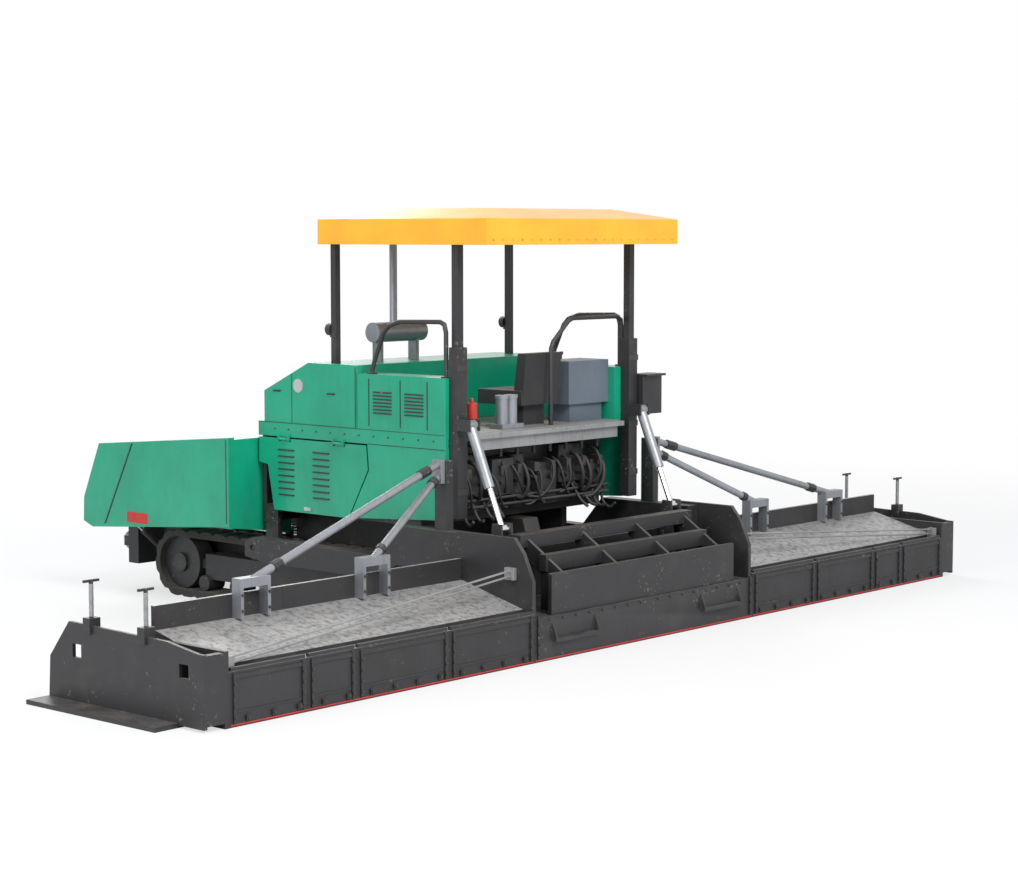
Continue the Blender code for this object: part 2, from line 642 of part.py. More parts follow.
def lift_cylinder(side):
    """Screed lift cylinder from the rear column down to the screed."""
    pin = (LIFT_X, *LIFT_TOP)
    foot = (LIFT_X, *LIFT_FOOT)
    cylinder(("lift_barrel_", "lift_rod_"), ("steel_pale", "chrome"), side, pin, foot, 0.56,
             (LIFT_R, LIFT_ROD, 2 * (LIFT_LUG - GAP)))


def wing_cylinder(side):
    """Hopper wing cylinder from the frame out to the wing's floor."""
    pin = (WING_CYL_BASE[0], WING_CYL_D, WING_CYL_BASE[1])
    foot = (WING_CYL_EYE[0], WING_CYL_D, WING_CYL_EYE[1])
    cylinder(("wing_barrel_", "wing_rod_"), ("steel_dark", "chrome"), side, pin, foot, 0.42,
             (0.031, 0.018, 2 * (WING_LUG - GAP)))


# ---- hopper wings and push beam ----

def hopper_wing(side):
    """Folding hopper wing: floor, outer wall, rear wall, hinge knuckles and cylinder lugs."""
    px, pz = WING_PIN_X, WING_PIN_Z
    floor = [(px + 0.01, pz - 0.02), (px + 0.01, pz + 0.012), (WING_OUT - 0.08, pz + 0.11), (WING_OUT - 0.02, pz + 0.11),
             (WING_OUT - 0.02, pz + 0.07), (WING_OUT - 0.08, pz + 0.07), (px + 0.05, pz - 0.02)]
    solids = [prism("D", WING_REAR, FRAME_FRONT + 0.10, floor)]
    wall = [(WING_REAR, 0.81), (WING_REAR, 1.62), (5.43, 1.46), (5.67, 0.93), (5.68, 0.70), (5.54, 0.65)]
    solids.append(prism("X", WING_OUT - 0.07, WING_OUT, wall))
    back = [(px + 0.04, pz + 0.01), (px + 0.04, 1.60), (WING_OUT - 0.01, 1.60), (WING_OUT - 0.01, 0.82),
            (WING_OUT - 0.08, pz + 0.08)]
    solids.append(prism("D", WING_REAR, WING_REAR + 0.03, back))
    cuts = []
    for d0, d1 in ((3.69, 4.44), (4.55, 5.32)):
        solids.append(rod((px, d0, pz), (px, d1, pz), 0.028, 20))
    cuts.append(rod((px, WING_REAR - 0.1, pz), (px, FRAME_FRONT + 0.3, pz), WING_PIN_R + PLAY, 24))
    for d in (WING_REAR + 0.04, 4.46, FRAME_FRONT - 0.11):
        cuts.append(box(px - 0.1, px + 0.035, d, d + 0.07, pz - 0.1, pz + 0.05))
    ex, ez = WING_CYL_EYE
    for d in (WING_CYL_D - WING_LUG - 0.02, WING_CYL_D + WING_LUG):
        solids.append(box(ex - 0.03, ex + 0.03, d, d + 0.02, ez - 0.03, pz + 0.075))
    piece("hopper_wing_" + side_name(side), "green", solids, cuts, side, (px, 4.60, pz))


def push_beam():
    """Swinging beam with the ears and axles of the push rollers."""
    z = ROLLER_Z
    solids = [box(-BEAM_HALF, BEAM_HALF, BEAM_REAR, BEAM_FRONT, z - 0.20, z + 0.20)]
    solids.append(box(-0.05, 0.05, BEAM_PIN_D - 0.05, BEAM_REAR + 0.02, z - 0.06 + GAP, z + 0.04 - GAP))
    for x in (-0.935, -0.025, 0.905):
        wide = 0.05 if x == -0.025 else 0.03
        solids.append(box(x, x + wide, BEAM_FRONT - 0.02, ROLLER_D + 0.04, z - 0.05, z + 0.05))
    for s in (-1, 1):
        solids.append(rod((s * 0.02, ROLLER_D, z), (s * 0.92, ROLLER_D, z), AXLE_R, 24))
    piece("push_beam", "black", solids,
          [rod((0, BEAM_PIN_D, z - 0.2), (0, BEAM_PIN_D, z + 0.2), 0.02 + PLAY, 24)], 1,
          (0, BEAM_PIN_D, z))


def push_roller(side):
    """Free turning roller that pushes the truck's wheels."""
    solids = [rod((0.035, ROLLER_D, ROLLER_Z), (0.895, ROLLER_D, ROLLER_Z), ROLLER_R, 32)]
    cuts = [rod((0.0, ROLLER_D, ROLLER_Z), (1.0, ROLLER_D, ROLLER_Z), AXLE_R + PLAY, 24)]
    piece("push_roller_" + side_name(side), "steel_grey", solids, cuts, side, (0.035, ROLLER_D, ROLLER_Z))


# ---- screed ----

def screed_profile(top):
    """Side view of a screed extension."""
    deep = SCREED_DEPTH
    return [(0, 0), (0, top), (0.12, top), (0.12, top + 0.03), (deep - 0.12, top + 0.20), (deep - 0.10, top + 0.20),
            (deep - 0.10, top + 0.38), (deep - 0.06, top + 0.38), (deep - 0.06, top + 0.20), (deep, top + 0.15),
            (deep, 0)]


def extension(side, number):
    """One bolt-on screed section."""
    start, end = SECTION_ENDS[number - 1], SECTION_ENDS[number]
    solids = [prism("X", start + GAP, end, screed_profile(0.40))]
    piece("extension_%s_%d" % (side_name(side), number), "steel_grey", solids, side=side)


def main_screed():
    """Centre screed: body, side plates, front baffle and the lift cylinders' lugs."""
    half = SECTION_ENDS[0]
    solids = [box(-half, half, 0, SCREED_DEPTH, 0, SCREED_TALL)]
    solids.append(box(GAP - ARM_IN, ARM_IN - GAP, SCREED_DEPTH - 0.10, SCREED_DEPTH - 0.06,
                      SCREED_TALL - 0.02, 0.78))
    plate = [(0.02, SCREED_TALL - 0.02), (0.02, 0.66), (0.12, 0.88), (0.22, 1.00), (0.86, 1.00), (0.98, 0.62),
             (0.90, SCREED_TALL - 0.02)]
    for s in (-1, 1):
        solids.append(prism("X", s * (half - 0.04), s * half, plate))
        solids.append(box(s * 0.72, s * 1.28, -0.05, 0.01, 0.15, 0.175))
        for x in (0.72, 1.26):
            solids.append(prism("X", s * x, s * (x + 0.02), [(-0.05, 0.15), (-0.05, 0.19), (0.01, 0.33), (0.01, 0.15)]))
        for inner in (LIFT_X - LIFT_LUG - 0.025, LIFT_X + LIFT_LUG):
            lug = [(0.56, SCREED_TALL - 0.02), (LIFT_FOOT[0] - 0.05, LIFT_FOOT[1] + 0.05),
                   (LIFT_FOOT[0] + 0.05, LIFT_FOOT[1] + 0.05), (0.76, SCREED_TALL - 0.02)]
            solids.append(prism("X", s * inner, s * (inner + 0.025), lug))
    piece("main_screed", "black", solids)


def steps():
    """Lower step board, upper step and walkway on brackets, at the rear of the centre screed."""
    half = SECTION_ENDS[0] - 0.25
    low = SCREED_TALL + GAP
    solids = [box(-half, half, 0.03, 0.07, low, 0.70)]
    solids.append(box(-half + 0.15, half - 0.15, 0.22, 0.30, 0.68, 0.82))
    solids.append(box(-half + 0.08, half - 0.08, 0.44, 0.56, 0.86, 0.97))
    for s in (-1, 1):
        for x in (0.35, half - 0.20):
            rib = [(0.05, low), (0.05, 0.68), (0.24, 0.80), (0.46, 0.94), (0.52, 0.94), (0.52, 0.82),
                   (0.30, 0.66), (0.30, low)]
            solids.append(prism("X", s * x, s * (x + 0.03), rib))
    piece("screed_steps", "black", solids)


def tow_arm(side):
    """Side arm from the tow point to the screed, with the brace mast."""
    out = SECTION_ENDS[0] - 0.04 - GAP
    arm = [(TOW_D + 0.10, TOW_Z - 0.08), (TOW_D + 0.10, TOW_Z + 0.06), (TOW_D, TOW_Z + 0.10), (1.86, 0.70),
           (1.62, 0.98), (0.60, 0.98), (0.60, 0.66), (1.60, 0.64), (1.84, 0.50), (TOW_D - 0.2, 0.50)]
    solids = [prism("X", ARM_IN, out, arm)]
    solids.append(box(ARM_IN + 0.03, out - 0.03, MAST_D - 0.07, MAST_D + 0.07, 0.90, 1.57))
    cuts = [rod((ARM_IN - 0.1, TOW_D, TOW_Z), (out + 0.1, TOW_D, TOW_Z), TOW_PIN_R + PLAY, 24)]
    piece("tow_arm_" + side_name(side), "black", solids, cuts, side)


def brace(side):
    """Pair of tie rods from the mast to their feet on the extensions."""
    out = SECTION_ENDS[0] - 0.04 - GAP - 0.03 + GAP
    head = out + 0.05
    solids = [box(out, head, MAST_D - 0.05, MAST_D + 0.05, 1.38, 1.58)]
    baffle = SCREED_DEPTH - 0.10 - GAP
    low = 0.60 + GAP
    for foot, z0, z1 in ((SECTION_ENDS[3] - 0.14, 1.54, 0.90), (SECTION_ENDS[1] + 0.085, 1.44, 0.92)):
        solids.append(rod((head - 0.02, MAST_D, z0), (foot, baffle - 0.05, z1 - 0.03), 0.0325, 16))
        solids.append(box(foot - 0.15, foot + 0.15, baffle - 0.10, baffle, z1 - 0.07, z1))
        for x in (foot - 0.15, foot + 0.12):
            solids.append(box(x, x + 0.03, baffle - 0.10, baffle, low, z1 - 0.02))
    piece("brace_" + side_name(side), "steel_pale", solids, side=side)


def low_stay(side):
    """Thin double stay along the rear of the extensions."""
    inner = SECTION_ENDS[0] + GAP
    outer = SECTION_ENDS[4] - 0.06
    solids = [box(inner, inner + 0.04, 0.19, 0.29, 0.66, 0.76)]
    solids.append(box(outer - 0.03, outer + 0.03, 0.04, 0.11, 0.40 + GAP, 0.50))
    for dz in (-0.02, 0.025):
        solids.append(rod((inner + 0.02, 0.24, 0.71 + dz), (outer, 0.075, 0.46 + dz), 0.009, 10))
    piece("low_stay_" + side_name(side), "steel_grey", solids, side=side)


def end_gate(side):
    """End gate: inner plate, slotted outer plate, ski and two height screws."""
    start = SECTION_ENDS[4] + GAP
    plate = [(0, 0.02), (0, 0.55), (0.06, 0.55), (0.40, 0.60), (1.50, 0.62), (GATE_FRONT - 0.02, 0.34),
             (GATE_FRONT, 0.02)]
    solids = [box(start, start + 0.04, 0, SCREED_DEPTH, 0, 0.55)]
    solids.append(prism("X", GATE_OUT - 0.03, GATE_OUT, plate))
    for d, deep in ((0.0, 0.06), (0.60, 0.10), (SCREED_DEPTH - 0.06, 0.06)):
        solids.append(box(start + 0.02, GATE_OUT - 0.01, d, d + deep, 0.04, 0.54))
    solids.append(box(GATE_OUT - 0.06, SKI_OUT, 0.28, GATE_FRONT, 0, 0.035))
    solids.append(box(GATE_OUT - 0.06, GATE_OUT - 0.02, 1.10, 1.70, 0.02, 0.30))
    for d in (0.65, 1.27):
        solids.append(box(GATE_OUT - 0.08, GATE_OUT + 0.02, d - 0.04, d + 0.04, 0.55, 0.67))
        solids.append(rod((GATE_OUT - 0.03, d, 0.60), (GATE_OUT - 0.03, d, 0.95), 0.016, 12))
        solids.append(rod((GATE_OUT - 0.10, d, 0.94), (GATE_OUT + 0.04, d, 0.94), 0.011, 10))
    cuts = []
    for d in (0.16, 1.36):
        cuts.append(box(GATE_OUT - 0.10, GATE_OUT + 0.05, d, d + 0.10, 0.36, 0.46))
    piece("end_gate_" + side_name(side), "black", solids, cuts, side=side)


def build():
    clear_scene()
    main_frame()
    engine_block()
    hood()
    platform()
    console()
    seat()
    control_box()
    canopy()
    handrail_rear()
    exhaust()
    auger_gearbox()
    rear_machinery()
    conveyor()
    push_beam()
    main_screed()
    steps()
    for side in (-1, 1):
        track(side)
        track_frame(side)
        engine_door(side)
        side_body(side)
        canopy_frame(side)
        handrail(side)
        auger(side)
        lift_cylinder(side)
        wing_cylinder(side)
        hopper_wing(side)
        push_roller(side)
        tow_arm(side)
        brace(side)
        low_stay(side)
        end_gate(side)
        for number in range(1, len(SECTION_ENDS)):
            extension(side, number)


build()
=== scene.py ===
import json
import math
import random

import bmesh
import bpy
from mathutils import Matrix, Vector


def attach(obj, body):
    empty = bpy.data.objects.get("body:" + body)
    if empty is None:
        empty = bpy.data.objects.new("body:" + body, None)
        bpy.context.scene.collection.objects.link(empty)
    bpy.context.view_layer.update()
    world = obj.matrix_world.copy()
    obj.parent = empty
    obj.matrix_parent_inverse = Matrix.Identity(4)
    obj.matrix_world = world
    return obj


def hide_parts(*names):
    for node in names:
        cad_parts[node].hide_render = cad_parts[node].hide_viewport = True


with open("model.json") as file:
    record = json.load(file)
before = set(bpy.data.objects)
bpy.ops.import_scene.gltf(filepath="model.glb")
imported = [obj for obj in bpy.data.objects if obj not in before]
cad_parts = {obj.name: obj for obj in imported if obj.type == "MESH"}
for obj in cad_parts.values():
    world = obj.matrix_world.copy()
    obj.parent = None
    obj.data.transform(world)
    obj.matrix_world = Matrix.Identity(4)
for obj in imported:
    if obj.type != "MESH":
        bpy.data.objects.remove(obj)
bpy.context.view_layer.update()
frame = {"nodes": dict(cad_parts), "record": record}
random.seed(7)
SHIFT = 2.95          # from the screed's rear edge to the frame's origin
SIDE = 1.2502         # just outside the green side panels
WING_SIDE = 1.6002    # just outside the hopper wings
COLUMN_X = 1.15
JOINTS = (1.5, 2.5, 3.5, 4.0, 4.75)
BRACES = ((3.86, 1.54, 0.90), (2.585, 1.44, 0.92))    # foot x, height at the mast, height of the foot
SIDES = ((-1, "left"), (1, "right"))


class Value:
    """A shader socket that maths can be written on."""

    def __init__(self, finish, socket):
        self.finish, self.socket = finish, socket

    def _do(self, kind, first, second, clamp=False):
        settings = {"operation": kind, "use_clamp": clamp}
        node = self.finish.node("ShaderNodeMath", settings, {0: first, 1: second})
        return Value(self.finish, node.outputs[0])

    def __add__(self, other):
        return self._do("ADD", self, other)

    def __radd__(self, other):
        return self._do("ADD", other, self)

    def __sub__(self, other):
        return self._do("SUBTRACT", self, other)

    def __rsub__(self, other):
        return self._do("SUBTRACT", other, self)

    def __mul__(self, other):
        return self._do("MULTIPLY", self, other)

    def clamped(self):
        return self._do("ADD", self, 0.0, True)


class Finish:
    """One procedural material."""

    def __init__(self, name):
        self.material = bpy.data.materials.new(name)
        self.material.use_nodes = True
        self.tree = self.material.node_tree
        self.shader = self.tree.nodes["Principled BSDF"]
        self.place = self.node("ShaderNodeTexCoord").outputs["Object"]

    def node(self, kind, settings=None, values=None):
        made = self.tree.nodes.new(kind)
        for key, value in (settings or {}).items():
            setattr(made, key, value)
        for key, value in (values or {}).items():
            self.put(made.inputs[key], value)
        return made

    def put(self, socket, value):
        if isinstance(value, Value):
            value = value.socket
        if isinstance(value, bpy.types.NodeSocket):
            self.tree.links.new(value, socket)
        else:
            socket.default_value = value

    def noise(self, scale, detail=4.0, rough=0.6, stretch=None):
        place = self.place
        if stretch:
            place = self.node("ShaderNodeMapping", None, {"Vector": place, "Scale": stretch}).outputs[0]
        made = self.node("ShaderNodeTexNoise", None, {"Vector": place, "Scale": scale, "Detail": detail,
                                                       "Roughness": rough})
        return Value(self, made.outputs[0])

    def step(self, value, low, high):
        made = self.node("ShaderNodeMapRange", {"interpolation_type": "SMOOTHSTEP"},
                         {0: value, 1: low, 2: high, 3: 0.0, 4: 1.0})
        return Value(self, made.outputs[0])

    def height(self):
        return Value(self, self.node("ShaderNodeSeparateXYZ", None, {0: self.place}).outputs[2])

    def upward(self):
        normal = self.node("ShaderNodeNewGeometry").outputs["Normal"]
        return Value(self, self.node("ShaderNodeSeparateXYZ", None, {0: normal}).outputs[2])

    def mix(self, factor, first, second):
        made = self.node("ShaderNodeMix", {"data_type": "RGBA"}, {0: factor, 6: first, 7: second})
        return made.outputs[2]

    def done(self, colour, rough, metallic=0.0, bump=None, depth=0.002, coat=0.0):
        self.put(self.shader.inputs["Base Color"], colour)
        self.put(self.shader.inputs["Roughness"], rough)
        self.put(self.shader.inputs["Metallic"], metallic)
        self.shader.inputs["Coat Weight"].default_value = coat
        if bump is not None:
            made = self.node("ShaderNodeBump", None, {"Height": bump, "Distance": depth, "Strength": 0.6})
            self.put(self.shader.inputs["Normal"], made.outputs[0])
        return self.material


DUST = (0.30, 0.27, 0.235, 1)
GRIME = (0.035, 0.031, 0.028, 1)


def worn(name, colour, rough, dust=0.35, grime=0.4, chips=0.25, metal=0.0, coat=0.0,
         bare=(0.16, 0.13, 0.11, 1), top=None):
    """Used paint or metal: mottled, dusty on top, grimy low down, with chips and streaks."""
    f = Finish(name)
    big, fine = f.noise(1.7), f.noise(34.0, 6.0)
    streak = f.noise(7.0, 5.0, 0.65, (3.0, 3.0, 0.35))
    shade = tuple(c * 0.72 for c in colour[:3]) + (1,)
    base = f.mix(f.step(big, 0.35, 0.7) * 0.6, colour, shade)
    if top:
        plates = f.mix(f.step(streak, 0.4, 0.7), top, (0.2, 0.195, 0.19, 1))
        base = f.mix(f.step(f.upward(), 0.6, 0.8), base, plates)
    chip = f.step(fine + big * 0.35, 0.83 - 0.12 * chips, 0.86) * f.step(f.noise(4.0), 0.5, 0.62)
    base = f.mix(chip * min(1.0, chips * 2), base, bare)
    low = 1.0 - f.step(f.height(), 0.1, 1.3)
    dirt = (f.step(streak, 0.48, 0.75) * grime + low * grime * f.step(big + fine * 0.3, 0.5, 0.85)).clamped()
    base = f.mix(dirt * 0.75, base, GRIME)
    flat = f.step(f.upward(), 0.15, 0.9) * f.step(big + fine * 0.4, 0.45, 0.85)
    powder = (flat * dust + f.step(f.noise(2.6, 6.0), 0.5, 0.8) * dust * 0.35).clamped()
    base = f.mix(powder, base, DUST)
    surface = (rough + dirt * 0.25 + powder * 0.3 + fine * 0.1).clamped()
    return f.done(base, surface, metal, fine * 0.5 + chip * -0.4 + f.noise(9.0) * 0.4, 0.0016, coat)


FINISHES = {
    "green": worn("hood_green", (0.003, 0.33, 0.185, 1), 0.3, 0.1, 0.14, 0.06, coat=0.3),
    "orange": worn("canopy_orange", (0.92, 0.43, 0.018, 1), 0.34, 0.06, 0.06, 0.03, coat=0.2),
    "black": worn("frame_black", (0.02, 0.02, 0.022, 1), 0.42, 0.22, 0.2, 0.5),
    "steel_dark": worn("cast_dark", (0.07, 0.066, 0.062, 1), 0.5, 0.3, 0.5, 0.6, 0.5),
    "section": worn("screed_section", (0.036, 0.034, 0.036, 1), 0.45, 0.12, 0.25, 0.35, 0.3,
                    top=(0.42, 0.415, 0.41, 1)),
    "brace": worn("brace_grey", (0.30, 0.315, 0.34, 1), 0.36, 0.15, 0.3, 0.3, 0.5),
    "steel_grey": worn("screed_grey", (0.34, 0.345, 0.35, 1), 0.42, 0.3, 0.35, 0.4, 0.45),
    "steel_pale": worn("bright_steel", (0.56, 0.565, 0.57, 1), 0.34, 0.2, 0.25, 0.3, 0.7),
    "track_rubber": worn("track_shoe", (0.05, 0.046, 0.042, 1), 0.7, 0.55, 0.5, 0.5, 0.2),
    "chrome": worn("rod_chrome", (0.72, 0.73, 0.75, 1), 0.12, 0.05, 0.1, 0.0, 1.0),
    "panel_grey": worn("console_grey", (0.115, 0.145, 0.18, 1), 0.45, 0.12, 0.15, 0.1),
    "seat": worn("seat_vinyl", (0.022, 0.022, 0.024, 1), 0.6, 0.15, 0.1, 0.0),
    "red": worn("red_paint", (0.55, 0.03, 0.02, 1), 0.4, 0.1, 0.25, 0.2),
    "lamp": worn("lamp_lens", (0.8, 0.8, 0.76, 1), 0.12, 0.03, 0.05, 0.0),
    "rubber": worn("hose_rubber", (0.018, 0.018, 0.019, 1), 0.55, 0.25, 0.2, 0.0),
}
SLOT_OF = {row["node"]: row["material_slot"] for row in frame["record"]["subparts"]}
LOOK_OF = {node: "section" if node.startswith("extension") else
           "brace" if node.startswith(("brace", "lift_barrel", "exhaust")) else slot
           for node, slot in SLOT_OF.items()}
BODY_OF = {node: body for body, nodes in frame["record"]["behaviour"]["bodies"].items() for node in nodes}


# ---- the machine's own pieces, with eased edges ----

def ease(node):
    """A welded copy of a CAD piece with smooth round faces and eased edges."""
    source = frame["nodes"][node]
    mesh = source.data.copy()
    shape = bmesh.new()
    shape.from_mesh(mesh)
    bmesh.ops.remove_doubles(shape, verts=shape.verts, dist=0.00002)
    bmesh.ops.dissolve_limit(shape, angle_limit=math.radians(0.5), verts=shape.verts, edges=shape.edges)
    shape.to_mesh(mesh)
    shape.free()
    mesh.shade_smooth()
    mesh.set_sharp_from_angle(angle=math.radians(38))
    mesh.materials.clear()
    mesh.materials.append(FINISHES[LOOK_OF[node]])
    thing = bpy.data.objects.new("skin_" + node, mesh)
    bpy.context.scene.collection.objects.link(thing)
    if not node.startswith(("track_left", "track_right", "auger_l", "auger_r")):
        edge = thing.modifiers.new("eased_edges", "BEVEL")
        edge.width = 0.003
        edge.segments = 2
        edge.limit_method = "ANGLE"
        edge.angle_limit = math.radians(38)
        edge.harden_normals = True
    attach(thing, BODY_OF[node])
    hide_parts(node)
    return thing


for node in sorted(frame["nodes"]):
    ease(node)


# ---- added pieces ----

def settle(name, mesh, slot, body):
    """A finished mesh as a piece that rides on a body."""
    mesh.materials.clear()
    mesh.materials.append(FINISHES[slot])
    thing = bpy.data.objects.new(name, mesh)
    bpy.context.scene.collection.objects.link(thing)
    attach(thing, body)
    slot if slot in set(SLOT_OF.values()) else "black"
    return thing


class Build:
    """Gathers boxes and bars into one mesh; distances run forwards from the screed's rear edge."""

    def __init__(self):
        self.shape = bmesh.new()

    def box(self, x0, x1, d0, d1, z0, z1):
        made = bmesh.ops.create_cube(self.shape, size=1.0)
        for v in made["verts"]:
            v.co = Vector(((x0 + x1) / 2 + v.co.x * (x1 - x0), (d0 + d1) / 2 + v.co.y * (d1 - d0) - SHIFT,
                           (z0 + z1) / 2 + v.co.z * (z1 - z0)))
        return self

    def bar(self, start, end, radius, count=12):
        start = Vector((start[0], start[1] - SHIFT, start[2]))
        end = Vector((end[0], end[1] - SHIFT, end[2]))
        along = end - start
        made = bmesh.ops.create_cone(self.shape, cap_ends=True, segments=count, radius1=radius,
                                     radius2=radius, depth=along.length)
        turn = along.to_track_quat("Z", "Y").to_matrix()
        for v in made["verts"]:
            v.co = turn @ v.co + (start + end) / 2
        return self

    def finish(self, name, slot, body):
        mesh = bpy.data.meshes.new(name)
        bmesh.ops.recalc_face_normals(self.shape, faces=self.shape.faces)
        self.shape.to_mesh(mesh)
        self.shape.free()
        mesh.shade_smooth()
        mesh.set_sharp_from_angle(angle=math.radians(35))
        return settle(name, mesh, slot, body)


def bolt_tree():
    """Geometry Nodes: a six sided bolt head on every point, facing along the point's attribute."""
    tree = bpy.data.node_groups.new("bolt_heads", "GeometryNodeTree")
    for name, kind in (("Geometry", "NodeSocketGeometry"), ("Radius", "NodeSocketFloat"),
                       ("Height", "NodeSocketFloat"), ("Material", "NodeSocketMaterial")):
        tree.interface.new_socket(name, in_out="INPUT", socket_type=kind)
    tree.interface.new_socket("Geometry", in_out="OUTPUT", socket_type="NodeSocketGeometry")
    add, link = tree.nodes.new, tree.links.new
    start, end = add("NodeGroupInput"), add("NodeGroupOutput")
    head = add("GeometryNodeMeshCylinder")
    spread = add("GeometryNodeInstanceOnPoints")
    real = add("GeometryNodeRealizeInstances")
    facing = add("GeometryNodeInputNamedAttribute")
    turn = add("FunctionNodeAlignRotationToVector")
    paint = add("GeometryNodeSetMaterial")
    facing.data_type = "FLOAT_VECTOR"
    facing.inputs["Name"].default_value = "facing"
    head.inputs["Vertices"].default_value = 6
    link(start.outputs["Radius"], head.inputs["Radius"])
    link(start.outputs["Height"], head.inputs["Depth"])
    link(facing.outputs[0], turn.inputs["Vector"])
    link(start.outputs["Geometry"], spread.inputs["Points"])
    link(head.outputs["Mesh"], spread.inputs["Instance"])
    link(turn.outputs[0], spread.inputs["Rotation"])
    link(spread.outputs[0], real.inputs[0])
    link(real.outputs[0], paint.inputs["Geometry"])
    link(start.outputs["Material"], paint.inputs["Material"])
    link(paint.outputs[0], end.inputs[0])
    return tree


BOLTS = bolt_tree()


def bolts(name, body, spots, facing, radius=0.011, height=0.012, slot="steel_dark"):
    """Bolt heads at spots (x, d, z), all facing one way."""
    mesh = bpy.data.meshes.new(name)
    mesh.from_pydata([(x, d - SHIFT, z) for x, d, z in spots], [], [])
    toward = mesh.attributes.new("facing", "FLOAT_VECTOR", "POINT")
    toward.data.foreach_set("vector", list(facing) * len(spots))
    seed = bpy.data.objects.new(name, mesh)
    bpy.context.scene.collection.objects.link(seed)
    step = seed.modifiers.new("bolts", "NODES")
    step.node_group = BOLTS
    wanted = {"Radius": radius, "Height": height, "Material": FINISHES[slot]}
    for item in BOLTS.interface.items_tree:
        if item.in_out == "INPUT" and item.name in wanted:
            step[item.identifier] = wanted[item.name]
    made = bpy.data.meshes.new_from_object(seed.evaluated_get(bpy.context.evaluated_depsgraph_get()))
    seed.modifiers.clear()
    seed.data = made
    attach(seed, body)
    return seed


columns, clips, red = Build(), Build(), Build()
spots = []
for s in (-1, 1):
    for x in JOINTS:
        for dx in (-0.045, 0.045):
            if x == 4.75 and dx > 0:
                continue
            columns.box(s * (x + dx) - 0.012, s * (x + dx) + 0.012, -0.014, -0.001, 0.03, 0.385)
            spots += [(s * (x + dx), -0.018, z) for z in (0.07, 0.15, 0.23, 0.31)]
    x = 1.62
    while x < 4.7:
        clips.box(s * x - 0.022, s * x + 0.022, -0.016, -0.001, 0.035, 0.075)
        spots.append((s * x, -0.018, 0.055))
        x += 0.2465
    red.box(s * 1.51, s * 4.74, -0.004, -0.001, 0.012, 0.022)
    for n in range(8):
        spots.append((s * (0.12 + 0.17 * n), -0.004, 0.335))
red.box(-1.49, 1.49, -0.004, -0.001, 0.012, 0.022)
columns.finish("joint_flanges", "black", "screed")
clips.finish("sole_clips", "black", "screed")
red.finish("sole_edge", "red", "screed")
bolts("rear_bolts", "screed", spots, (0, -1, 0))

for s, side in SIDES:
    louvre = Build()
    for d in (2.73, 3.18):
        for n in range(8):
            z = 1.10 + 0.058 * n
            louvre.box(s * SIDE, s * 1.262, d - 0.10, d + 0.10, z, z + 0.012)
    louvre.finish("door_louvres_" + side, "black", "door_" + side)
    latch = Build().box(s * SIDE, s * 1.266, 2.86, 2.94, 0.985, 1.015)
    latch.box(s * SIDE, s * 1.27, 2.885, 2.915, 0.99, 1.01)
    latch.finish("door_latch_" + side, "steel_pale", "door_" + side)
    vent = Build()
    for d in (1.58, 1.96):
        for n in range(7):
            z = 1.90 + 0.03 * n
            vent.box(s * SIDE, s * 1.258, d - 0.11, d + 0.11, z, z + 0.012)
    for d in (1.42, 1.74, 2.12):
        vent.box(s * SIDE, s * 1.254, d, d + 0.008, 1.79, 2.20)
    vent.finish("box_vents_" + side, "black", "tractor")
    Build().bar((s * COLUMN_X, 2.668, 2.61), (s * COLUMN_X, 2.72, 2.61), 0.055, 20).box(
        s * 1.14, s * 1.16, 2.62, 2.70, 2.54, 2.58).finish("work_lamp_" + side, "black", "tractor")
    Build().bar((s * COLUMN_X, 2.7203, 2.61), (s * COLUMN_X, 2.728, 2.61), 0.048, 20).finish(
        "lamp_glass_" + side, "lamp", "tractor")
    thread = Build()
    for d in (0.65, 1.27):
        for n in range(30):
            thread.bar((s * 4.95, d, 0.68 + 0.008 * n), (s * 4.95, d, 0.684 + 0.008 * n), 0.0185, 12)
    thread.finish("height_screws_" + side, "steel_pale", "screed")
    # painted shade: a thin black bar along the wing's front bend line stands in for the shade at that crease;
    # a thin black strip also runs down the wing's rear edge
    edge_line_and_bend_shade = Build().bar((s * 1.6005, 4.93, 1.49), (s * 1.6005, 5.35, 0.70), 0.008, 8)
    edge_line_and_bend_shade.box(s * WING_SIDE, s * 1.603, 3.60, 3.608, 0.84, 1.60)
    edge_line_and_bend_shade.finish("wing_edge_line_and_bend_shade_" + side, "black", "wing_" + side)
    bolts("band_bolts_" + side, "tractor", [(s * 1.252, 1.35 + 0.18 * n, 1.70) for n in range(12)], (s, 0, 0),
          0.008, 0.008)
    bolts("shoe_bolts_" + side, "tractor", [(s * 1.141, 2.1 + 0.095 * n, 0.03) for n in range(28)], (s, 0, 0),
          0.009, 0.006)


def hose(name, points, radius, body, slot="rubber"):
    """A bent hose or pipe through points, as one closed mesh."""
    curve = bpy.data.curves.new(name, "CURVE")
    curve.dimensions = "3D"
    line = curve.splines.new("BEZIER")
    line.bezier_points.add(len(points) - 1)
    for knot, (x, d, z) in zip(line.bezier_points, points):
        knot.co = (x, d - SHIFT, z)
        knot.handle_left_type = knot.handle_right_type = "AUTO"
    line.resolution_u = 10
    curve.bevel_depth = radius
    curve.bevel_resolution = 3
    curve.use_fill_caps = True
    shown = bpy.data.objects.new(name, curve)
    bpy.context.scene.collection.objects.link(shown)
    mesh = bpy.data.meshes.new_from_object(shown.evaluated_get(bpy.context.evaluated_depsgraph_get()))
    bpy.data.objects.remove(shown, do_unlink=True)
    return settle(name, mesh, slot, body)


for n in range(16):
    x = -0.95 + 0.125 * n
    low = 1.08 + random.random() * 0.15
    reach = 1.24 + random.random() * 0.08
    away = x + random.uniform(-0.3, 0.3)
    route = [(x, 1.36, low + 0.3), (x, reach, low + 0.25), ((x + away) / 2, reach - 0.02, low),
             (away, reach + 0.03, low - 0.02), (away, 1.44, low + 0.08)]
    hose("machinery_hose_%02d" % n, route, random.choice((0.011, 0.014, 0.018)), "tractor")
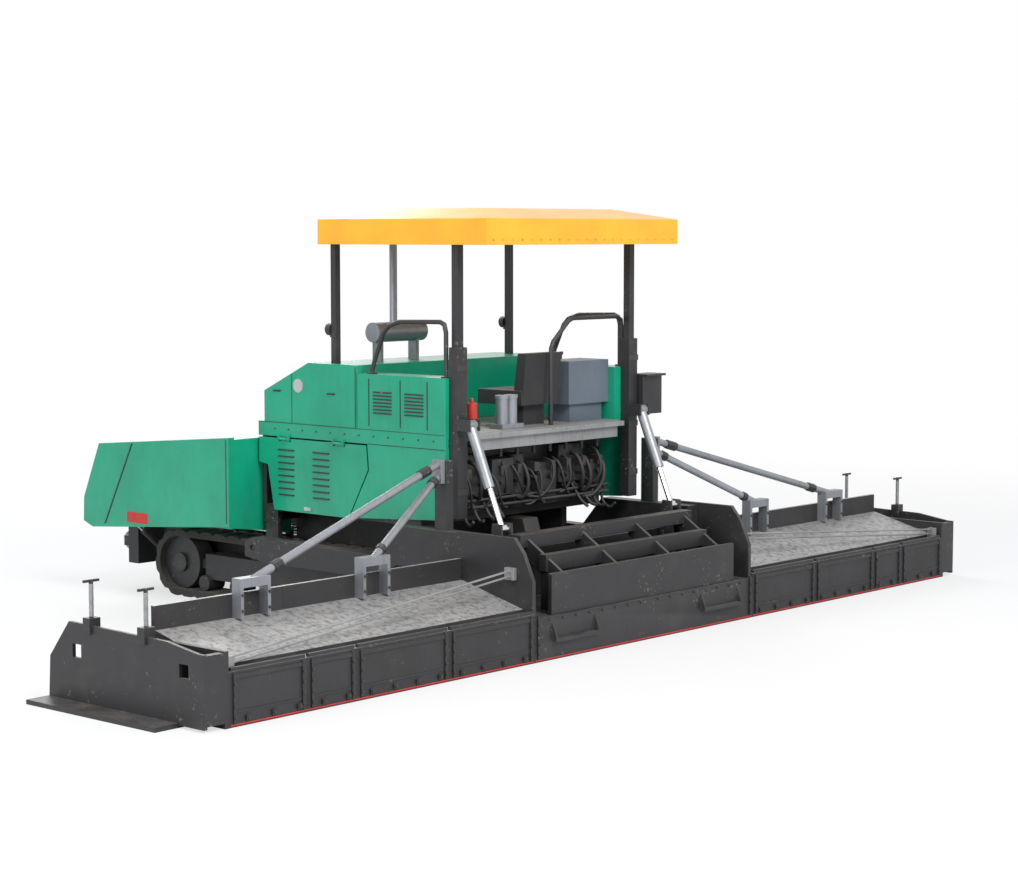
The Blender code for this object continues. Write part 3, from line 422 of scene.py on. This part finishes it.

# dark rail over the sections, hood seams, emblem seat, blank plates, hood hinges, foot bolts and turnbuckles
for s, side in SIDES:
    rail = Build()
    for start, end in zip(JOINTS, JOINTS[1:]):
        rail.box(s * (start + 0.03), s * (end - 0.03), -0.010, -0.0005, 0.345, 0.375)
        rail.box(s * (start + 0.02), s * (end - 0.02), 0.002, 0.035, 0.4005, 0.425)
        rail.box(s * (start + 0.06), s * (end - 0.06), -0.006, -0.0005, 0.10, 0.115)
    rail.finish("section_rails_" + side, "black", "screed")
    seam = Build()
    seam.box(s * SIDE, s * 1.253, 2.288, 2.296, 1.765, 2.29)
    seam.box(s * SIDE, s * 1.2525, 3.10, 3.106, 1.765, 2.20)
    seam.box(s * SIDE, s * 1.2525, 1.22, 3.54, 1.754, 1.7585)
    seam.box(s * SIDE, s * 1.2525, 1.22, 2.14, 1.628, 1.634)
    seam.finish("hood_seams_" + side, "black", "tractor")
    Build().bar((s * SIDE, 3.02, 2.10), (s * 1.2545, 3.02, 2.10), 0.062, 28).finish(
        "emblem_seat_" + side, "steel_pale", "tractor")
    plate = Build().box(s * 1.6001, s * 1.6035, 4.72, 5.02, 0.74, 0.84)
    plate.finish("blank_plate_" + side, "red", "wing_" + side)
    hinge = Build()
    for d in (2.55, 3.25):
        hinge.bar((s * 1.256, d, 2.045), (s * 1.256, d + 0.09, 2.045), 0.008)
    hinge.finish("hood_hinges_" + side, "black", "tractor")
    feet = []
    for foot in (BRACES[1][0], BRACES[0][0]):
        feet += [(s * (foot + dx), 0.69, 0.66 + dz) for dx in (-0.135, 0.135) for dz in (0, 0.12)]
    bolts("foot_bolts_" + side, "screed", feet, (0, -1, 0), 0.012, 0.02)
    ends = Build()
    for foot, z0, z1 in BRACES:
        a, b = Vector((s * 1.46, 1.10, z0)), Vector((s * foot, 0.75, z1 - 0.03))
        for low, high in ((0.06, 0.11), (0.86, 0.90)):
            ends.bar(a.lerp(b, low), a.lerp(b, high), 0.043, 8)
    ends.finish("turnbuckles_" + side, "black", "screed")

# pipes, valve handles, filter bowls and a red bottle on the rear machinery
valves = Build()
for n in range(9):
    x = -0.9 + 0.22 * n
    valves.bar((x, 1.30, 1.52), (x, 1.30, 1.60), 0.018).bar((x, 1.27, 1.30), (x, 1.44, 1.30), 0.024)
    valves.box(x - 0.03, x + 0.03, 1.26, 1.40, 1.36, 1.44)
for z in (1.10, 1.16, 1.62, 1.66):
    valves.bar((-1.0, 1.285, z), (1.0, 1.285, z), 0.013)
valves.finish("valve_rows", "steel_dark", "tractor")
bowls = Build()
for x in (-0.42, -0.30):
    bowls.bar((x, 1.32, 1.80), (x, 1.32, 2.02), 0.055, 20).bar((x, 1.32, 2.02), (x, 1.32, 2.05), 0.062, 20)
bowls.box(-0.50, -0.22, 1.24, 1.40, 1.762, 1.80)
bowls.finish("filter_bowls", "brace", "tractor")
bottle = Build().bar((-0.98, 1.16, 1.80), (-0.98, 1.16, 2.02), 0.045, 20)
bottle.bar((-0.98, 1.16, 2.02), (-0.98, 1.16, 2.06), 0.018)
bottle.box(-1.03, -0.93, 1.15, 1.215, 1.86, 1.88)
bottle.finish("red_bottle", "red", "tractor")
for s, side in SIDES:
    for n in range(4):
        x = s * (0.55 + 0.13 * n)
        route = [(x, 1.34, 1.20), (x, 1.22, 1.05 - 0.03 * n), (x + 0.02 * s, 1.16, 1.00)]
        hose("screed_hose_%s_%d" % (side, n), route, 0.014, "tractor")
    straps = Build()
    for z in (1.25, 1.70, 2.30):
        straps.box(s * 1.085, s * 1.215, 1.1035, 1.1095, z, z + 0.05)
    straps.finish("column_straps_" + side, "steel_dark", "tractor")

gauges = Build()
for n in range(5):
    gauges.bar((0.52 + 0.09 * n, 1.80, 2.23), (0.52 + 0.09 * n, 1.80, 2.262), 0.012)
gauges.bar((0.85, 1.72, 2.23), (0.85, 1.72, 2.34), 0.008).bar((0.85, 1.72, 2.34), (0.85, 1.72, 2.37), 0.018)
gauges.finish("console_levers", "black", "tractor")
rivets = [(x / 10 * 1.2, 0.712, 3.40) for x in range(-10, 11)]
bolts("canopy_rivets", "tractor", rivets, (0, -1, 0), 0.007, 0.004, "orange")

# ---- floor, light and camera ----

floor_finish = Finish("studio_floor")
path = floor_finish.node("ShaderNodeLightPath")
seen = Value(floor_finish, path.outputs["Is Camera Ray"])
speck = floor_finish.noise(3.0)
floor_finish.done(floor_finish.mix(speck * 0.1, (0.80, 0.80, 0.80, 1), (0.76, 0.76, 0.76, 1)), 0.8)
glow = floor_finish.node("ShaderNodeEmission", None, {"Color": (1, 1, 1, 1), "Strength": 1.0})
reach = floor_finish.node("ShaderNodeVectorMath", {"operation": "LENGTH"}, {0: floor_finish.place})
far = floor_finish.step(Value(floor_finish, reach.outputs["Value"]), 7.0, 16.0)
lit = floor_finish.shader.outputs[0]
white = seen * (far * 0.35 + 0.65).clamped()
both = floor_finish.node("ShaderNodeMixShader", None, {0: white, 1: lit, 2: glow.outputs[0]})
floor_finish.tree.links.new(both.outputs[0], floor_finish.tree.nodes["Material Output"].inputs["Surface"])
bpy.ops.mesh.primitive_plane_add(size=160, location=(0, 0, -0.001))
floor = bpy.context.object
floor.name = "studio_floor"
floor.data.materials.append(floor_finish.material)

world = bpy.data.worlds.new("studio")
bpy.context.scene.world = world
world.use_nodes = True
tree = world.node_tree
sky = tree.nodes["Background"]
sky.inputs["Color"].default_value = (0.86, 0.9, 1.0, 1)
sky.inputs["Strength"].default_value = 0.42
plain = tree.nodes.new("ShaderNodeBackground")
plain.inputs["Color"].default_value = (1, 1, 1, 1)
plain.inputs["Strength"].default_value = 1.0
rays = tree.nodes.new("ShaderNodeLightPath")
direct = rays.outputs["Is Camera Ray"]
for kind in ("Is Glossy Ray", "Is Transmission Ray"):
    either = tree.nodes.new("ShaderNodeMath")
    either.operation = "MAXIMUM"
    tree.links.new(direct, either.inputs[0])
    tree.links.new(rays.outputs[kind], either.inputs[1])
    direct = either.outputs[0]
blend = tree.nodes.new("ShaderNodeMixShader")
tree.links.new(direct, blend.inputs[0])
tree.links.new(sky.outputs[0], blend.inputs[1])
tree.links.new(plain.outputs[0], blend.inputs[2])
tree.links.new(blend.outputs[0], tree.nodes["World Output"].inputs["Surface"])
for name, place, power, size in (("key", (-6, -18, 15), 4200, 8), ("fill", (-18, -2, 9), 1500, 9),
                                 ("back", (8, 14, 12), 1600, 8)):
    lamp = bpy.data.lights.new(name, "AREA")
    lamp.energy = power
    lamp.size = size
    holder = bpy.data.objects.new(name, lamp)
    holder.location = place
    holder.rotation_euler = (Vector((0, 0, 1)) - Vector(place)).to_track_quat("-Z", "Y").to_euler()
    bpy.context.scene.collection.objects.link(holder)

eye = bpy.data.cameras.new("eye")
eye.lens = 80.6
eye.sensor_width = 36
eye.clip_end = 400
camera = bpy.data.objects.new("eye", eye)
camera.location = (-15.18, -11.911 - SHIFT, 3.444)
turn, dip = math.radians(41.69), math.radians(5.21)
look = Vector((math.cos(turn) * math.cos(dip), math.sin(turn) * math.cos(dip), -math.sin(dip)))
camera.rotation_euler = look.to_track_quat("-Z", "Y").to_euler()
bpy.context.scene.collection.objects.link(camera)
bpy.context.scene.camera = camera
bpy.context.scene.view_settings.view_transform = "Standard"
